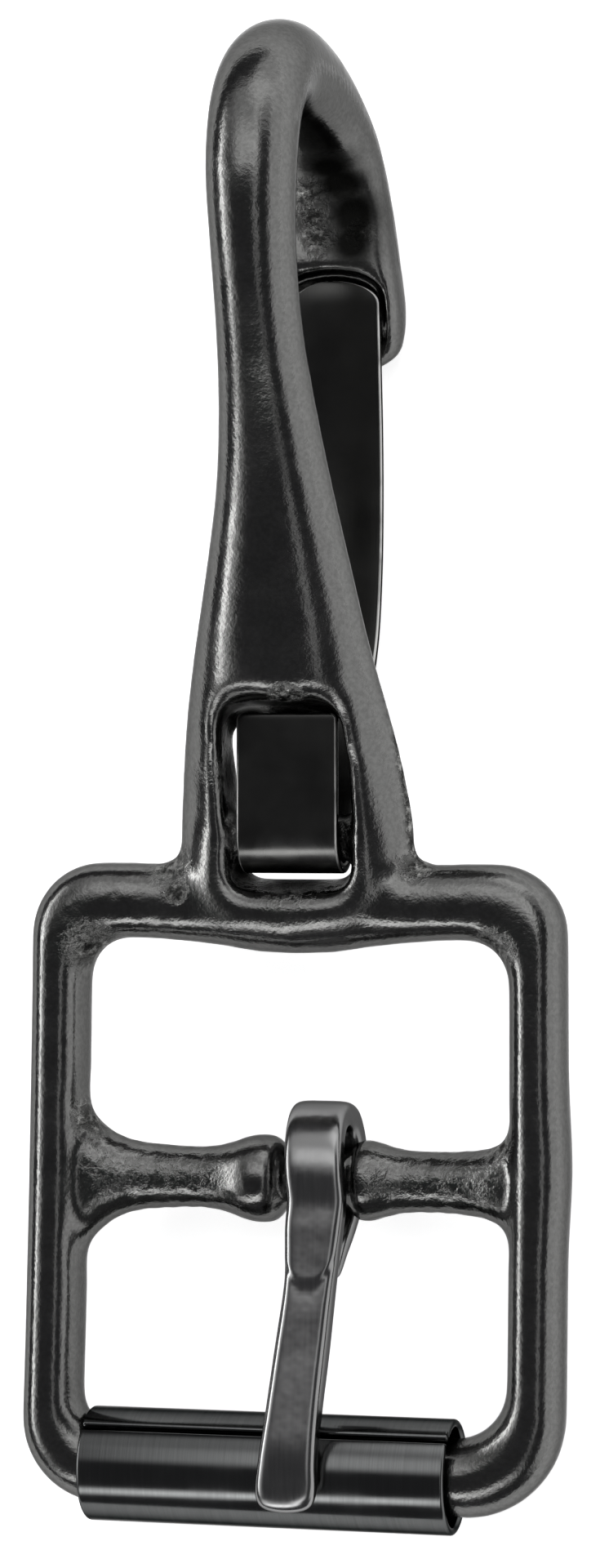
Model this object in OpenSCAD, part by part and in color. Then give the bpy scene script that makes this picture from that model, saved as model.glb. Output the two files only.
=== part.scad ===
// Horse blanket buckle: a cast frame with a snap hook in one piece, a roller, a tongue and a leaf spring.
// Modelled standing up, face to -Y and hook to +Z, with the centre bar at z = 0, then laid on its back.

/* [Frame] */
// Clear width between the side bars at the strap, mm
slot_w = 25.45; // [25.2:0.05:25.8]
// Width of a side bar seen from the front, mm
side_bar_w = 3.3; // [3:0.1:3.6]
// Depth of the side bars, mm
side_bar_d = 4.5; // [4:0.1:4.8]
// How much wider the frame is at the roller than at the hook, on each side, mm
side_flare = 0.25; // [0:0.05:0.4]
// Height of the top bar, mm
top_bar_h = 4.45; // [4.2:0.05:4.6]
// Outer corner radius at the hook end, mm
top_corner_r = 4.1; // [3.8:0.1:4.4]
// Outer corner radius at the roller end, on the left, mm
low_corner_r = 5; // [4.8:0.1:5.6]
// Outer corner radius at the roller end, on the right, mm
low_right_corner_r = 5.8; // [5.4:0.1:6.3]

/* [Roller] */
// Diameter of the bottom bar, mm
axle_d = 4.5; // [4.2:0.1:4.6]
// Outer diameter of the roller, mm
roller_d = 6.7; // [6.6:0.1:6.8]
// Sheet thickness of the roller, mm
roller_wall = 0.5; // [0.4:0.1:0.6]
// Length of the roller, mm
roller_l = 22; // [21.5:0.1:22]
// Width of the open seam, mm
seam_w = 0.3; // [0.2:0.05:0.4]

/* [Tongue] */
// Width of the strip where it is wrapped, mm
strip_w = 3.4; // [3.2:0.05:3.4]
// Thickness of the strip, mm
strip_t = 1.6; // [1.4:0.1:1.7]
// Lean of the rod to the left, degrees
tongue_lean = 4.2; // [3.6:0.2:5]

/* [Spring] */
// Width of the leaf, mm
leaf_w = 6; // [5.6:0.1:6.2]
// Thickness of the leaf, mm
leaf_t = 0.6; // [0.5:0.05:0.7]

/* [Hidden] */
laid = true;
$fn = 48;

hook_sides = 24;
bar_sides = 18;
corner_steps = 6;

// Heights of the frame's bars, from the centre bar's axis
axle_z = -17.05;
top_bar_top = 18.4;
top_bar_low = top_bar_top - top_bar_h;
top_bar_sag = 0.75;
top_bar_d = 4.4;
inner_top_r = 2.6;
inner_low_r = 2;
inner_low_right_r = 3.2;
frame_skew = 0.5;
axle_half_l = 10.9;

// Neck of the centre bar that carries the tongue
bar_y = 1;
bar_z = -0.12;
neck_r = 1.6;
neck_x = 1.075;
neck_half_w = 2.125;
// Length by which the neck runs into each collar
pin_end = 0.5;

// Tongue: its loop sits a little above the neck's axis
loop_r = 2.5;
loop_y = bar_y;
loop_z = 0.4;
loop_x = 1.33;
rod_x = 1.8;

// Roller, slid against the left side bar
roller_r = roller_d / 2;
roller_x = -12.55;
seam_angle = 48;

// Spring: a bend round the crossbar, a short front leg and the long leaf
bend_y = -0.5;
bend_z = 19.9;
bend_r = 2.1;
crossbar_r = 1.35;
crossbar_half_l = 5;
front_leg_top = 27.1;
leaf_top = 53.2;
// Heights of the rounding of the leaf's end, on its left and on its right
leaf_round_left = 2.6;
leaf_round_right = 1.4;

// Hook, from the base's lower edge up the shank, over the arch and down the nose.
// Columns: y, z, half width, half depth, squareness outside, squareness inside, and the share by which the
// outer face is narrower than the middle
hook_rows = [
    [0.15, 13.2, 2.5, 0.8, 2, 2, 0],
    [0.05, 13.8, 5.2, 1.7, 2.2, 2, 0.1],
    [-0.1, 14.8, 6.9, 2.35, 2.6, 2.1, 0.15],
    [-0.25, 16.6, 7.5, 2.6, 3.0, 2.2, 0.18],
    [-0.3, 18.7, 7.2, 2.65, 3.2, 2.3, 0.22],
    [-0.45, 20.6, 7.05, 2.6, 3.3, 2.4, 0.25],
    [-1.5, 24.0, 6.6, 2.55, 3.3, 2.6, 0.28],
    [-2.75, 27.2, 6.0, 2.5, 3.3, 2.8, 0.28],
    [-3.8, 30.7, 5.25, 2.4, 3.2, 2.8, 0.27],
    [-4.5, 35.2, 4.35, 2.3, 3.0, 2.6, 0.24],
    [-5.4, 39.9, 3.45, 2.25, 2.7, 2.4, 0.18],
    [-6.8, 44.4, 2.85, 2.2, 2.4, 2.2, 0.1],
    [-8.4, 48.7, 2.5, 2.2, 2.2, 2.2, 0.04],
    [-9.7, 53.3, 2.45, 2.3, 2.1, 2.2, 0],
    [-10.1, 57.5, 2.6, 2.45, 2.1, 2.3, 0],
    [-9.2, 60.9, 2.65, 2.5, 2.1, 2.2, 0],
    [-7.0, 63.2, 2.65, 2.6, 2.1, 2.2, 0],
    [-3.8, 64.15, 2.6, 2.85, 2.1, 2.3, 0],
    [0.2, 63.95, 2.65, 2.85, 2.1, 2.5, 0],
    [4.1, 63.0, 2.75, 2.6, 2.1, 2.8, 0],
    [7.4, 61.1, 3.0, 2.35, 2.2, 3.2, 0],
    [9.15, 58.7, 3.2, 2.35, 2.3, 3.8, 0],
    [9.7, 56.5, 3.45, 2.6, 2.4, 4, 0],
    [9.8, 54.4, 3.7, 2.75, 2.5, 4, 0],
    [9.8, 52.2, 4.0, 2.65, 2.6, 4, 0],
    [10.05, 50.4, 4.0, 2.3, 2.5, 3.4, 0],
    [10.3, 48.9, 3.6, 1.7, 2.3, 2.6, 0],
    [10.5, 47.9, 2.0, 0.8, 2, 2, 0],
];

// Centre bar, left and right of the neck. Columns: x, middle y, half height, half depth
bar_left_rows = [
    [-14.4, 0, 4.8, 1.3], [-13.2, 0.1, 4.6, 1.6], [-12.4, 0.25, 3.7, 1.8], [-11.6, 0.45, 2.8, 1.85],
    [-10.7, 0.65, 2.3, 1.85], [-9.4, 0.9, 2.0, 1.85], [-7.2, 1, 1.85, 1.85], [-5.6, 1, 1.85, 1.85],
    [-4.3, 1, 2.1, 2.1], [-3.4, 1, 2.45, 2.45], [-2.5, 1, 2.62, 2.62], [-1.8, 1, 2.6, 2.6],
    [-1.35, 1, 2.45, 2.45], [-1.05, 1, 2.05, 2.05],
];
bar_right_rows = [
    [3.2, 1, 2.1, 2.1], [3.5, 1, 2.38, 2.38], [4.2, 1, 2.42, 2.42], [5.2, 1, 2.1, 2.1], [6.4, 1, 1.85, 1.85],
    [8.2, 1, 1.82, 1.82], [9.8, 0.85, 1.88, 1.85], [11.2, 0.5, 2.1, 1.8], [12.1, 0.25, 2.5, 1.75],
    [12.9, 0.1, 3.1, 1.6], [14.2, 0, 3.6, 1.3],
];

// Leaf of the spring, its middle line. Columns: y, z
leaf_rows = [
    [1.3, 19.9], [2.2, 22.5], [4.2, 26.0], [6.1, 29.0], [7.6, 32.0], [8.4, 36.0],
    [8.6, 40.0], [8.5, 44.0], [8.1, 48.5], [7.7, 53.4],
];

// Rod of the tongue, from the loop's front down to the tip.
// Columns: y, z, half width, half thickness, squareness behind, squareness in front
rod_rows = [
    [-2.3, 0.6, 1.6, 0.7, 3.2, 3.2],
    [-2.3, -1.0, 1.7, 0.8, 3.2, 3.2],
    [-2.42, -2.6, 1.68, 0.88, 3, 3.2],
    [-2.5, -4.2, 1.57, 1.0, 2.4, 3.2],
    [-2.62, -6.0, 1.5, 1.12, 2.2, 3],
    [-3.0, -9.5, 1.55, 1.2, 2.2, 3],
    [-3.68, -13.0, 1.6, 1.08, 2.2, 3],
    [-4.3, -15.6, 1.7, 0.85, 2.4, 3],
    [-4.35, -17.2, 1.8, 0.75, 2.6, 3],
    [-4.3, -18.2, 1.65, 0.65, 2.4, 2.6],
    [-4.25, -18.65, 1.1, 0.4, 2.2, 2.2],
];

// Tail of the strip, from the loop's back down to its tapered end. Same columns
tail_rows = [
    [4.25, 1.0, 1.5, 0.7, 3, 3],
    [4.1, -0.6, 1.55, 0.78, 3, 3],
    [3.4, -1.8, 1.4, 0.75, 3, 3],
    [2.3, -3.1, 1.15, 0.7, 2.8, 2.8],
    [1.4, -4.3, 0.8, 0.65, 2.6, 2.6],
    [0.95, -5.6, 0.4, 0.5, 2.2, 2.2],
];
tail_lean = 0.1;

x_axis = [1, 0, 0];
y_axis = [0, 1, 0];
z_axis = [0, 0, 1];

// Smooth curve through the rows of a table, with steps points for each row
function curve_point(a, b, c, d, t) =
    0.5 * (2 * b + (c - a) * t + (2 * a - 5 * b + 4 * c - d) * t * t + (3 * b - a - 3 * c + d) * t * t * t);
function smooth(rows, steps) = let (last = len(rows) - 1) concat(
    [for (i = [0:last - 1]) for (k = [0:steps - 1])
        curve_point(rows[max(i - 1, 0)], rows[i], rows[i + 1], rows[min(i + 2, last)], k / steps)],
    [rows[last]]);

// One closed section: an ellipse squared off towards a rectangle by its powers, one for each half in depth,
// and drawn in across by the share pinch towards the outer face
function squared(v, power) = sign(v) * pow(abs(v), 2 / power);
function section(centre, across, deep, half_w, half_d, power, deep_power, sides, pinch = 0) =
    [for (i = [0:sides - 1]) let (
        a = 360 * (i + 0.5) / sides,
        p = sin(a) > 0 ? deep_power : power,
        far = squared(sin(a), p),
        wide = squared(cos(a), p) * (1 - pinch * max(0, -far)))
        centre + across * half_w * wide + deep * half_d * far];

// A solid through a list of sections, with flat ends
module loft(rings) {
    n = len(rings[0]);
    last = len(rings) - 1;
    walls = [for (j = [0:last - 1]) for (i = [0:n - 1]) let (k = (i + 1) % n)
        each [[j * n + i, (j + 1) * n + i, (j + 1) * n + k], [j * n + i, (j + 1) * n + k, j * n + k]]];
    start = [[for (i = [0:n - 1]) i]];
    end = [[for (i = [n - 1:-1:0]) last * n + i]];
    polyhedron([for (r = rings) each r], concat(walls, start, end), convexity = 6);
}

// Sections square to a path in the plane x = 0, leaning by a share of x for each mm down
function unit(v) = v / norm(v);
function path_rings(rows, x, lean, sides) = let (last = len(rows) - 1)
    [for (i = [0:last]) let (
        r = rows[i],
        step = rows[min(i + 1, last)] - rows[max(i - 1, 0)],
        t = unit([0, step[0], step[1]]),
        centre = [x + lean * (r[1] - rows[0][1]), r[0], r[1]])
        section(centre, x_axis, [0, t[2], -t[1]], r[2], r[3], r[4], r[5], sides, len(r) > 6 ? r[6] : 0)];

hook_rings = path_rings(smooth(hook_rows, 2), 0, 0, hook_sides);

// Frame: a loop between an outer and an inner outline, open where the axle bar is
outer_top = slot_w / 2 + side_bar_w;
outer_low = outer_top + side_flare;
inner_top = slot_w / 2;
inner_low = inner_top + side_flare * 0.7;
frame_low = axle_z - axle_d / 2 - 0.1;
axle_top = axle_z + axle_d / 2;
function corner(x, z, r, a) = [x + r * cos(a), z + r * sin(a)];
// Rows of the loop from the axle bar to the middle of the top bar, on the left.
// Columns: outer point, inner point, depth, squareness
function half_frame(outer_r, inner_r) = let (
    low = [for (k = [0:corner_steps]) let (a = 270 - 90 * k / corner_steps)
        [corner(-outer_low + outer_r, frame_low + outer_r, outer_r, a),
        corner(-inner_low + inner_r, axle_top + inner_r, inner_r, a),
        axle_d + (side_bar_d - axle_d) * k / corner_steps, 2 + 0.5 * k / corner_steps]],
    high = [for (k = [0:corner_steps]) let (a = 180 - 90 * k / corner_steps)
        [corner(-outer_top + top_corner_r, top_bar_top - top_corner_r, top_corner_r, a),
        corner(-inner_top + inner_top_r, top_bar_low - inner_top_r, inner_top_r, a),
        side_bar_d + (top_bar_d - side_bar_d) * k / corner_steps, 2.5]],
    side = [for (k = [1:3]) low[corner_steps] + (high[0] - low[corner_steps]) * k / 4],
    top = [for (x = [-8.5:1.7:0]) top_row(x)])
    concat([stub_row], low, side, high, top);
function top_row(x) =
    [[x, top_bar_top], [x, top_bar_low - top_bar_sag * (1 + cos(180 * x / 10.2)) / 2], top_bar_d, 2.3];
stub_row = [[-9.8, frame_low + 0.1], [-9.8, axle_top - 0.1], axle_d - 0.2, 2];
function mirrored(row) = [[-row[0][0], row[0][1]], [-row[1][0], row[1][1]], row[2], row[3]];
left_rows = half_frame(low_corner_r, inner_low_r);
right_rows = half_frame(low_right_corner_r, inner_low_right_r);
frame_rows = concat(left_rows, [for (i = [len(right_rows) - 2:-1:0]) mirrored(right_rows[i])]);
// The casting is a little out of square: it moves to the left towards the roller
function skewed(p) = let (down = (top_bar_top - p[1]) / (top_bar_top - frame_low))
    [p[0] - frame_skew * down * down, 0, p[1]];
function frame_ring(row) = let (outer = skewed(row[0]), inner = skewed(row[1]))
    section((outer + inner) / 2, unit(inner - outer), y_axis, norm(inner - outer) / 2, row[2] / 2, row[3],
        row[3], bar_sides);

// Lying on its back: the roller and the back of the nose touch the surface
back_points = [for (ring = hook_rings) for (p = ring) if (p[2] > 30) p];
function rest_angle(p) = let (dy = p[1], dz = p[2] - axle_z)
    atan2(dy, dz) - asin(roller_r / norm([dy, dz]));
rest_tilt = max([for (p = back_points) rest_angle(p)]);
hook_end = max([for (p = back_points) p[1] * sin(rest_tilt) + p[2] * cos(rest_tilt)]);
roller_end = axle_z * cos(rest_tilt) - roller_r;
axle_height = roller_r - axle_z * sin(rest_tilt);
frame_x = [for (row = frame_rows) skewed(row[0])[0]];
module lay_down() {
    if (laid)
        translate([-(min(frame_x) + max(frame_x)) / 2, -(hook_end + roller_end) / 2, axle_height])
            rotate([rest_tilt - 90, 0, 0])
                children();
    else
        children();
}

module frame_loop() loft([for (row = frame_rows) frame_ring(row)]);

// Half of the centre bar, from a side bar to the neck, with its collar beside the neck
module bar_half(rows)
    loft([for (r = smooth(rows, 2))
        section([r[0], r[1], bar_z], y_axis, z_axis, r[3], r[2], 2.1, 2.1, 16)]);

// Window through the hook's base. Columns: y, half width, lower edge, upper edge, and the share by which the
// opening is narrower at its upper edge and wider at its lower edge
window_rows = [
    [-9, 4.2, 15.6, 28.4, 0.05], [-4.6, 3.85, 16.1, 27.6, 0.05], [-2.0, 3.8, 16.7, 27.5, 0],
    [-0.5, 3.78, 17.2, 26.8, -0.05], [1.0, 3.72, 17.45, 26.5, -0.05], [2.5, 4.0, 17.2, 26.9, -0.05],
    [6, 4.5, 16.2, 30, -0.05],
];
function window_ring(r) = let (middle = (r[2] + r[3]) / 2, half_h = (r[3] - r[2]) / 2)
    [for (p = section([0, r[0], middle], z_axis, x_axis, half_h, r[1], 8, 8, bar_sides + 6))
        [p[0] * (1 - r[4] * (p[2] - middle) / half_h), p[1], p[2]]];
module window_cut()
    loft([for (r = window_rows) window_ring(r)]);

// Seat for the end of the leaf in the inner face of the nose. Columns: z, back wall y, half width
seat_rows = [
    [46, 9.7, 3.3], [49, 9.1, 3.3], [51.1, 8.7, 3.3], [52.1, 8.55, 3.28], [52.8, 8.45, 2.98],
    [53.3, 8.4, 2.3], [53.6, 8.35, 1.4], [53.7, 8.3, 0.5],
];
module seat_cut()
    loft([for (r = smooth(seat_rows, 2))
        section([0, r[1] - 3, r[0]], x_axis, y_axis, r[2], 3, 9, 9, 24)]);

// Shallow dish in the inner face of the nose, above the seat
dish_middle = [0.1, 6.0, 57.3];
dish_size = [4.6, 3.8, 6.4];
module dish_cut()
    translate(dish_middle)
        scale(dish_size)
            sphere(d = 1, $fn = 32);

module pin(x, y, z, r, l)
    translate([x, y, z])
        rotate([0, 90, 0])
            cylinder(r = r, h = l);

module casting()
    color("dimgray")
        lay_down() {
            // One fused skin for all the cast lofts
            resize([0, 0, 0])
                difference() {
                    union() {
                        frame_loop();
                        loft(hook_rings);
                        bar_half(bar_left_rows);
                        bar_half(bar_right_rows);
                    }
                    window_cut();
                    seat_cut();
                    dish_cut();
                }
            pin(-axle_half_l, 0, axle_z, axle_d / 2, 2 * axle_half_l);
            pin(neck_x - neck_half_w - pin_end, bar_y, bar_z, neck_r, 2 * (neck_half_w + pin_end));
            pin(-crossbar_half_l, bend_y, bend_z, crossbar_r, 2 * crossbar_half_l);
        }

module roller()
    color("slategray")
        lay_down()
            translate([roller_x, 0, axle_z])
                rotate([0, 90, 0])
                    difference() {
                        cylinder(r = roller_r, h = roller_l);
                        translate([0, 0, -1])
                            cylinder(r = roller_r - roller_wall, h = roller_l + 2);
                        rotate([0, 0, 270 - seam_angle])
                            translate([0, -seam_w / 2, -1])
                                cube([roller_d, seam_w, roller_l + 2]);
                    }

// The wrapped strip: a ring round the neck, open below, with the tail behind
module wrap_profile() {
    difference() {
        circle(r = loop_r + strip_t);
        circle(r = loop_r);
        polygon([[0, 0], [-2.4, -6], [2.0, -6], [8.4, -6]]);
    }
}

module tongue()
    color("gray")
        lay_down()
            union() {
                translate([loop_x - strip_w / 2, loop_y, loop_z])
                    rotate([90, 0, 90])
                        linear_extrude(strip_w)
                            wrap_profile();
                loft(path_rings(smooth(rod_rows, 2), rod_x, tan(tongue_lean), 16));
                loft(path_rings(smooth(tail_rows, 2), loop_x, -tail_lean, 12));
            }

// Both faces of the strip along its middle line
function strip_side(rows, half_t) = let (last = len(rows) - 1)
    [for (i = [0:last]) let (t = unit(rows[min(i + 1, last)] - rows[max(i - 1, 0)]))
        rows[i] + half_t * [t[1], -t[0]]];
module leaf_profile() {
    rows = smooth(leaf_rows, 3);
    back = strip_side(rows, leaf_t / 2);
    front = strip_side(rows, -leaf_t / 2);
    polygon(concat(back, [for (i = [len(front) - 1:-1:0]) front[i]]));
}
module spring_profile() {
    translate([bend_y, bend_z])
        difference() {
            circle(r = bend_r);
            circle(r = bend_r - leaf_t);
            translate([-5, 0])
                square([10, 5]);
        }
    translate([bend_y - bend_r, bend_z])
        square([leaf_t, front_leg_top - bend_z]);
    leaf_profile();
}
// Outline of the strip seen from the front, with its upper end rounded more on the left
function end_arc(half_w, h, angles) =
    [for (a = angles) [half_w * cos(a), leaf_top - h + h * sin(a)]];
module spring_outline()
    polygon(concat(
        [[-leaf_w / 2, 17]],
        end_arc(-leaf_w / 2, leaf_round_left, [0:10:90]),
        end_arc(leaf_w / 2, leaf_round_right, [80:-10:0]),
        [[leaf_w / 2, 17]]));
module spring()
    color("darkslategray")
        lay_down()
            intersection() {
                translate([-leaf_w / 2, 0, 0])
                    rotate([90, 0, 90])
                        linear_extrude(leaf_w)
                            spring_profile();
                translate([0, 12, 0])
                    rotate([90, 0, 0])
                        linear_extrude(20)
                            spring_outline();
            }

casting();
roller();
tongue();
spring();
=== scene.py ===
import bmesh
import bpy
import numpy as np
from mathutils import Matrix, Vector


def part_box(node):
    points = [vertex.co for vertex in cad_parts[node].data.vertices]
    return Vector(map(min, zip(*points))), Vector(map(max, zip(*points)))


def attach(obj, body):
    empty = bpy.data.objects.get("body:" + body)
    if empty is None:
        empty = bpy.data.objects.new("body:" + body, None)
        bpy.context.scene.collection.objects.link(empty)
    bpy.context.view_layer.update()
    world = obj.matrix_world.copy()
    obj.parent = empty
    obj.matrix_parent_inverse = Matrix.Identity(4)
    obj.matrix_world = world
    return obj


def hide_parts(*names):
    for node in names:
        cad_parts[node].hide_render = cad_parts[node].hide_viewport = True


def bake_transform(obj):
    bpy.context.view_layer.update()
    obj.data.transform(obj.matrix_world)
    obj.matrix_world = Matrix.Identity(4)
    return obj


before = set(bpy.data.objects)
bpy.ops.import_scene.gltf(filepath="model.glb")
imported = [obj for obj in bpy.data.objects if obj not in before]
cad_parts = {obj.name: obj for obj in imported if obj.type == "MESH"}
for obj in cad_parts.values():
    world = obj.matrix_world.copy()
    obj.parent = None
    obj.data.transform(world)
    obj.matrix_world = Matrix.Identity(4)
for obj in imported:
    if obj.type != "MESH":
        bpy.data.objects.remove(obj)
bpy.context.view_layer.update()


# The cast body
# One malleable-iron casting: the rectangular frame, the centre bar with its two ball-like collars, and the
# snap hook that rises from the frame's top bar. It is tumbled smooth, then plated in black nickel, and the
# sand-cast skin is left in its hollows and corners.

# Sizes are in mm on the buckle standing up: face to -Y, hook to +Z, centre bar at z = 0. Each piece is laid on
# its back at the end, tilted until roller and nose rest on the bench, with the middle of its width at x = 0.
MM = 0.001
TILT = np.radians(7.498)
AXLE_Z = -17.05

frame_middle_x = -0.3032
roller_low, roller_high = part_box("roller")
laid_turn = np.array([[1, 0, 0], [0, np.sin(TILT), np.cos(TILT)], [0, -np.cos(TILT), np.sin(TILT)]])
laid_shift = np.array([
    -frame_middle_x,
    (roller_low.y + roller_high.y) / 2 / MM - AXLE_Z * np.cos(TILT),
    (roller_low.z + roller_high.z) / 2 / MM - AXLE_Z * np.sin(TILT)])


def laid(points):
    """Standing points in mm, turned by the tilt, shifted until the axle is in the roller's middle, and put in
    metres."""
    return (np.asarray(points, float) @ laid_turn.T + laid_shift) * MM


def through(rows, steps):
    """A smooth curve through the rows of a table: cubic pieces whose slope at a row is half the way from the
    row before it to the row after it."""
    rows = np.asarray(rows, float)
    last = len(rows) - 1
    t = np.linspace(0, last, last * steps + 1)
    i = np.minimum(t.astype(int), last - 1)
    u = (t - i)[:, None]
    a, b, c, d = (rows[np.clip(i + k, 0, last)] for k in (-1, 0, 1, 2))
    return 0.5 * (2 * b + (c - a) * u + (2 * a - 5 * b + 4 * c - d) * u**2 + (3 * b - a - 3 * c + d) * u**3)


def spaced(path, shares):
    """Points on a path at the given shares of its length, counted from its start."""
    steps = np.linalg.norm(np.diff(path, axis=0), axis=1)
    run = np.concatenate([[0], np.cumsum(steps)]) / steps.sum()
    return np.column_stack([np.interp(shares, run, path[:, k]) for k in range(path.shape[1])])


def sections(centres, across, deep, half_width, half_depth, square_out, square_in, sides, pinch=0):
    """Closed rings round the centres: the cosine and sine of the angle, each to the power 2 / squareness with
    its sign kept, times the half width along across and the half depth along deep. square_in holds on deep's
    side, and the other side is drawn in across by up to the share pinch."""
    angle = (np.arange(sides) + 0.5) * 2 * np.pi / sides
    c, s = np.cos(angle), np.sin(angle)
    power = 2 / np.where(s > 0, np.reshape(square_in, (-1, 1)), np.reshape(square_out, (-1, 1)))
    wide = np.sign(c) * np.abs(c) ** power * np.reshape(half_width, (-1, 1))
    far = np.sign(s) * np.abs(s) ** power
    wide = wide * (1 - np.reshape(pinch, (-1, 1)) * np.clip(-far, 0, None))
    far = far * np.reshape(half_depth, (-1, 1))
    across = np.broadcast_to(across, centres.shape)[:, None]
    deep = np.broadcast_to(deep, centres.shape)[:, None]
    return centres[:, None] + across * wide[..., None] + deep * far[..., None]


def along(path, x, half_width, half_depth, square_out, square_in, sides, pinch=0):
    """Sections square to a path of y, z points: deep is the path's direction, turned a quarter about x."""
    centres = np.column_stack([np.broadcast_to(x, len(path)), path])
    way = np.gradient(path, axis=0)
    way /= np.linalg.norm(way, axis=1)[:, None]
    deep = np.column_stack([np.zeros(len(path)), way[:, 1], -way[:, 0]])
    return sections(centres, [1, 0, 0], deep, half_width, half_depth, square_out, square_in, sides, pinch)


def skin(name, grid):
    """A closed mesh over a grid of points, ring by side: a face between each four neighbours, and a fan from
    the middle of each end ring. Faces are turned outwards."""
    rings, sides = grid.shape[:2]
    j, i = np.meshgrid(np.arange(rings - 1), np.arange(sides), indexing="ij")
    k = (i + 1) % sides
    walls = np.stack([j * sides + i, (j + 1) * sides + i, (j + 1) * sides + k, j * sides + k], -1)
    side = np.arange(sides)
    after = (side + 1) % sides
    middle = rings * sides
    first_fan = np.stack([np.full(sides, middle), side, after], -1)
    end = middle - sides
    last_fan = np.stack([np.full(sides, middle + 1), end + after, end + side], -1)
    points = np.concatenate([grid.reshape(-1, 3), grid[[0, -1]].mean(axis=1)])
    faces = walls.reshape(-1, 4).tolist() + first_fan.tolist() + last_fan.tolist()
    mesh = bpy.data.meshes.new(name)
    mesh.from_pydata(points.tolist(), [], faces)
    work = bmesh.new()
    work.from_mesh(mesh)
    bmesh.ops.recalc_face_normals(work, faces=work.faces)
    work.to_mesh(mesh)
    work.free()
    piece = bpy.data.objects.new(name, mesh)
    bpy.context.scene.collection.objects.link(piece)
    return piece


def settle(piece):
    """Turns the piece's modifiers into its mesh."""
    shaped = bpy.data.meshes.new_from_object(piece.evaluated_get(bpy.context.evaluated_depsgraph_get()))
    piece.modifiers.clear()
    piece.data = shaped


def combine(piece, others, operation):
    """Joins closed solids to the piece, or cuts them out of it, and removes them."""
    for other in others:
        step = piece.modifiers.new(operation, "BOOLEAN")
        step.operation = operation
        step.solver = "MANIFOLD"
        step.object = other
        settle(piece)
        bpy.data.objects.remove(other)


# The frame: one loop between an outer and an inner outline, open at the roller, where the axle closes it. Its
# side bars stand a little wider apart at the roller, and the whole frame leans to the left down there.
slot_w = 25.45
side_bar_w = 3.3
side_bar_d = 4.5
side_square = 2.5
side_flare = 0.25
inner_flare = 0.7 * side_flare
frame_lean = 0.5
axle_r = 2.25
axle_top = AXLE_Z + axle_r
frame_low = AXLE_Z - axle_r - 0.1
stub_x = 9.8
stub_inset = 0.1
top_bar_top = 18.4
top_bar_low = 13.95
top_bar_d = 4.4
top_bar_square = 2.3
top_bar_sag = 0.75
sag_half_width = 10.2
straight_half_width = 8.5
corner_steps = 25
side_steps = 60
top_steps = 24


def frame_half(outer_low_r, inner_low_r, outer_top_r, inner_top_r):
    """Left half of the loop, from the axle up the side to the middle of the top bar. Each row holds an outer
    point, an inner point, a depth and a squareness. Both outlines turn their corners on quarter circles of
    the given radii, and the top bar's lower edge sags by half a cosine wave."""
    outer_top = slot_w / 2 + side_bar_w
    outer_low = outer_top + side_flare
    inner_top = slot_w / 2
    inner_low = inner_top + inner_flare
    axle_d = 2 * axle_r
    part = np.linspace(0, 1, corner_steps)
    turn = np.radians(270 - 90 * part)
    low = np.column_stack([
        outer_low_r - outer_low + outer_low_r * np.cos(turn), frame_low + outer_low_r * (1 + np.sin(turn)),
        inner_low_r - inner_low + inner_low_r * np.cos(turn), axle_top + inner_low_r * (1 + np.sin(turn)),
        axle_d + (side_bar_d - axle_d) * part, 2 + (side_square - 2) * part])
    turn = np.radians(180 - 90 * part)
    high = np.column_stack([
        outer_top_r - outer_top + outer_top_r * np.cos(turn), top_bar_top - outer_top_r * (1 - np.sin(turn)),
        inner_top_r - inner_top + inner_top_r * np.cos(turn), top_bar_low - inner_top_r * (1 - np.sin(turn)),
        side_bar_d + (top_bar_d - side_bar_d) * part, np.full(corner_steps, side_square)])
    side = low[-1] + (high[0] - low[-1]) * np.linspace(0, 1, side_steps + 2)[1:-1, None]
    x = np.linspace(-straight_half_width, 0, top_steps)
    lower = top_bar_low - top_bar_sag * (1 + np.cos(np.pi * x / sag_half_width)) / 2
    flat = np.ones(top_steps)
    top = np.column_stack([x, top_bar_top * flat, x, lower, top_bar_d * flat, top_bar_square * flat])
    stub = [[-stub_x, frame_low + stub_inset, -stub_x, axle_top - stub_inset, axle_d - 2 * stub_inset, 2]]
    return np.concatenate([stub, low, side, high, top])


left_half = frame_half(5.0, 2.0, 4.1, 2.6)
right_half = frame_half(5.8, 3.2, 4.1, 2.6) * [-1, 1, -1, 1, 1, 1]

# The right side bar swells outwards by a bell curve where the centre bar meets it.
swell = 0.24
swell_z = 0.9
swell_reach = 3.4
on_side_bar = right_half[:, 0] > 14
right_half[:, 0] += swell * np.exp(-((right_half[:, 1] - swell_z) / swell_reach) ** 2) * on_side_bar

loop = np.concatenate([left_half, right_half[-2::-1]])
down = (top_bar_top - loop[:, [1, 3]]) / (top_bar_top - frame_low)
loop[:, [0, 2]] -= frame_lean * down**2
outer = np.column_stack([loop[:, 0], np.zeros(len(loop)), loop[:, 1]])
inner = np.column_stack([loop[:, 2], np.zeros(len(loop)), loop[:, 3]])
bar_w = np.linalg.norm(inner - outer, axis=1)
casting = skin("casting_black_nickel", sections(
    (outer + inner) / 2, (inner - outer) / bar_w[:, None], [0, 1, 0], bar_w / 2, loop[:, 4] / 2, loop[:, 5],
    loop[:, 5], sides=64))

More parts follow.
